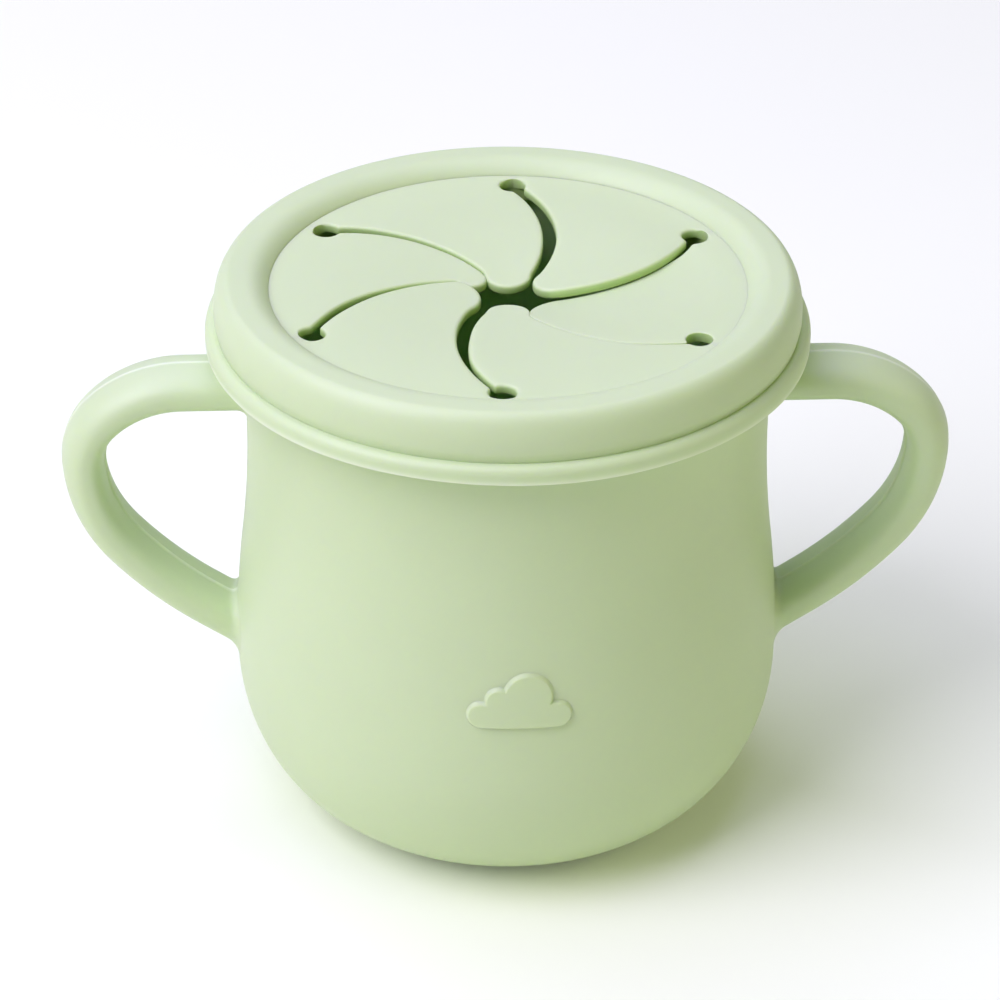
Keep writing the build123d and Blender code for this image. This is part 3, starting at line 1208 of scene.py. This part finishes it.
@dataclass
class Studio:
    """Camera, floor and soft light. Metres; the lens and sensor in millimetres, the angles in degrees."""

    lens: float = 130.86
    sensor: float = 36.0
    elevation: float = 31.647
    turn: float = -2.65
    roll: float = 0.243
    distance: float = 0.5576
    target: tuple[float, float, float] = (-0.00105, 0.0, 0.0487)
    floor_half: float = 6.0
    surroundings: float = 0.03
    surroundings_tint: Colour = (1.0, 1.0, 0.74)
    lamps: tuple[Lamp, ...] = (
        Lamp("key", (-0.80, -0.45, 1.00), 0.9, 13.5, (1.0, 0.93, 1.23)),
        Lamp("top", (-0.20, 0.10, 1.30), 1.2, 9.0, (1.0, 0.92, 1.50)),
        Lamp("back", (-0.20, 1.20, 0.90), 1.5, 3.4, (1.0, 1.05, 1.25)),
        Lamp("side", (1.10, -0.30, 0.70), 0.9, 3.2, (1.0, 1.02, 0.40)),
        Lamp("low", (-0.40, -1.20, 0.10), 0.5, 0.9),
    )

    def camera(self) -> None:
        """The camera at the photograph's place: back along its line from the target, turned and rolled."""
        e, r = math.radians(self.elevation), math.radians(self.roll)
        back = Vector((0.0, -math.cos(e), math.sin(e)))
        right0, up0 = Vector((1.0, 0.0, 0.0)), Vector((0.0, math.sin(e), math.cos(e)))
        right = math.cos(r) * right0 + math.sin(r) * up0
        up = -math.sin(r) * right0 + math.cos(r) * up0
        basis = Matrix((right, up, back)).transposed().to_4x4()
        place = Matrix.Translation(Vector(self.target) + back * self.distance)
        data = bpy.data.cameras.new("view")
        data.lens, data.sensor_width = self.lens, self.sensor
        data.clip_start, data.clip_end = 0.05, 50.0
        camera = bpy.data.objects.new("view", data)
        bpy.context.scene.collection.objects.link(camera)
        camera.matrix_world = Matrix.Rotation(math.radians(self.turn), 4, "Z") @ place @ basis
        bpy.context.scene.camera = camera

    def floor(self) -> None:
        """A wide flat sheet just under the foot."""
        h = self.floor_half
        mesh = bpy.data.meshes.new("ground")
        mesh.from_pydata([(-h, -h, 0.0), (h, -h, 0.0), (h, h, 0.0), (-h, h, 0.0)], [], [(0, 1, 2, 3)])
        ground = bpy.data.objects.new("ground", mesh)
        bpy.context.scene.collection.objects.link(ground)
        mesh.materials.append(PaleGround().build())
        ground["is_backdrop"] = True

    def light(self, lamp: Lamp) -> None:
        """Hangs a square soft lamp that faces the object.

        Args:
            lamp: Its facts.
        """
        data = bpy.data.lights.new(lamp.name, "AREA")
        data.shape, data.size, data.energy, data.color = "SQUARE", lamp.size, lamp.power, lamp.tint
        hung = bpy.data.objects.new(lamp.name, data)
        bpy.context.scene.collection.objects.link(hung)
        hung.location = lamp.place
        hung.rotation_euler = (Vector(self.target) - Vector(lamp.place)).to_track_quat("-Z", "Y").to_euler()

    def world(self) -> None:
        """Pale surroundings: an even soft grey on the object, white to the camera."""
        world = bpy.data.worlds.new("surroundings")
        bpy.context.scene.world = world
        world.use_nodes = True
        nodes, links = world.node_tree.nodes, world.node_tree.links
        backdrop = nodes["Background"]
        path = nodes.new("ShaderNodeLightPath")
        shown = nodes.new("ShaderNodeMix")
        shown.data_type = "RGBA"
        dim = (self.surroundings * tint for tint in self.surroundings_tint)
        shown.inputs["A"].default_value = (*dim, 1.0)
        shown.inputs["B"].default_value = (1.0, 1.0, 1.0, 1.0)
        links.new(path.outputs["Is Camera Ray"], shown.inputs["Factor"])
        links.new(shown.outputs["Result"], backdrop.inputs["Color"])

    def build(self) -> None:
        """Sets up the view, the floor and the light."""
        self.camera()
        self.floor()
        for lamp in self.lamps:
            self.light(lamp)
        self.world()
        bpy.context.scene.view_settings.view_transform = "Standard"


def corners() -> list[list[float]]:
    """The shown object's lowest and highest corner as plain lists."""
    return [[float(x) for x in corner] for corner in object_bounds()]


def main() -> None:
    """Builds the studio, the cup and the lid."""
    logging.basicConfig(level=logging.INFO, format="%(name)s: %(message)s")
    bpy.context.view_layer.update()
    Studio().build()
    cup_finish = SiliconeFinish("cup_silicone_matte").build()
    lid_finish = SiliconeFinish("lid_silicone_matte", roughness=0.52, grain_depth=0.08).build()
    for piece in [*Cup().build(cup_finish), *Lid().build(lid_finish)]:
        log.info("%s: %d faces", piece.name, len(piece.data.polygons))


if __name__ == "__main__":
    main()
